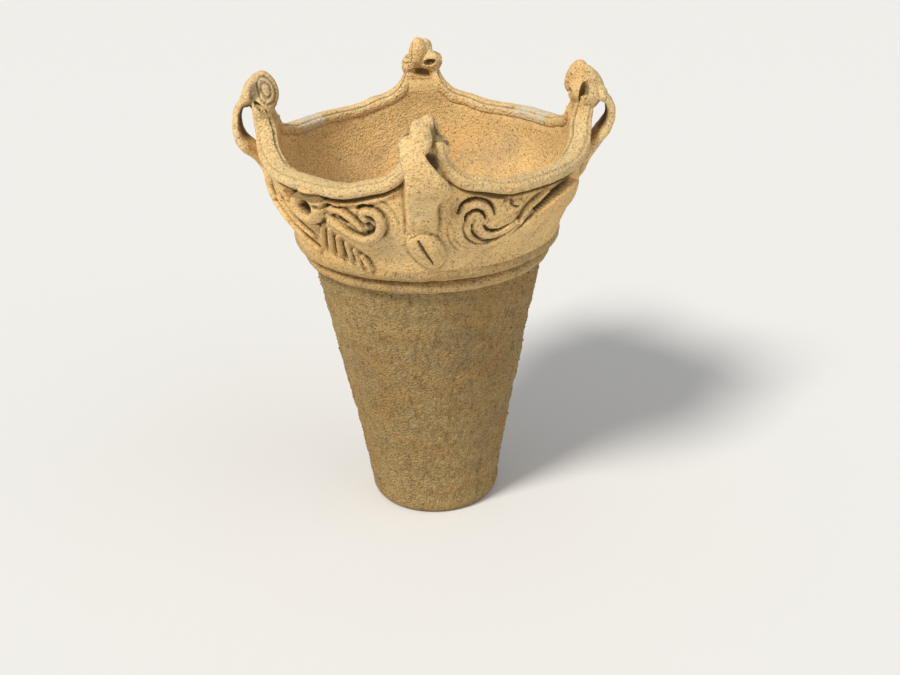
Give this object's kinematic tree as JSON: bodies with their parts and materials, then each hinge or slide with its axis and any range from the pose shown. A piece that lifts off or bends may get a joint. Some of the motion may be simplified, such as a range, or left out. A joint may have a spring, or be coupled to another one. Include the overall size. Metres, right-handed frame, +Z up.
{
  "type": "deep jar with crown-like rim",
  "caption": "Deep fired-clay cooking jar: narrow flat base, tapered body, banded neck and a flaring bowl-shaped crown with pierced peaks, strap handles and scroll reliefs.",
  "frame": {"origin": "centre of the flat base, on the surface it stands on", "axes": "+Z up along the pot's axis, front peak towards -Y, the other peaks towards +X, +Y and -X"},
  "size_m": [0.2556, 0.2556, 0.3185],
  "materials": {
    "body_clay": "matt, cord-marked",
    "cordon_clay": "matt, granular",
    "crown_clay": "matt, wiped smooth",
    "relief_clay": "matt, wiped smooth"
  },
  "bodies": {
    "root": {"base_disc": "body_clay", "lower_body": "body_clay", "lower_cordon": "cordon_clay", "upper_cordon": "cordon_clay", "crown_wall": "crown_clay", "rim_lip_front_left": "relief_clay", "rim_lip_front_right": "relief_clay", "rim_lip_back_left": "relief_clay", "rim_lip_back_right": "relief_clay", "peak_head_front": "relief_clay", "peak_head_right": "relief_clay", "peak_head_back": "relief_clay", "peak_head_left": "relief_clay", "strap_handle_front": "relief_clay", "strap_handle_right": "relief_clay", "strap_handle_back": "relief_clay", "strap_handle_left": "relief_clay", "column_front": "relief_clay", "column_right": "relief_clay", "column_back": "relief_clay", "column_left": "relief_clay", "boss_front": "relief_clay", "boss_right": "relief_clay", "boss_back": "relief_clay", "boss_left": "relief_clay", "eyelet_ring_front_left": "relief_clay", "eyelet_ring_back_right": "relief_clay", "hook_scroll_front_left": "relief_clay", "hook_scroll_back_right": "relief_clay", "rib_fan_front_left": "relief_clay", "rib_fan_back_right": "relief_clay", "slanting_band_front_left": "relief_clay", "slanting_band_back_right": "relief_clay", "spiral_front_right": "relief_clay", "spiral_back_left": "relief_clay", "blade_flange_front_right": "relief_clay", "blade_flange_back_left": "relief_clay"}
  },
  "joints": []
}
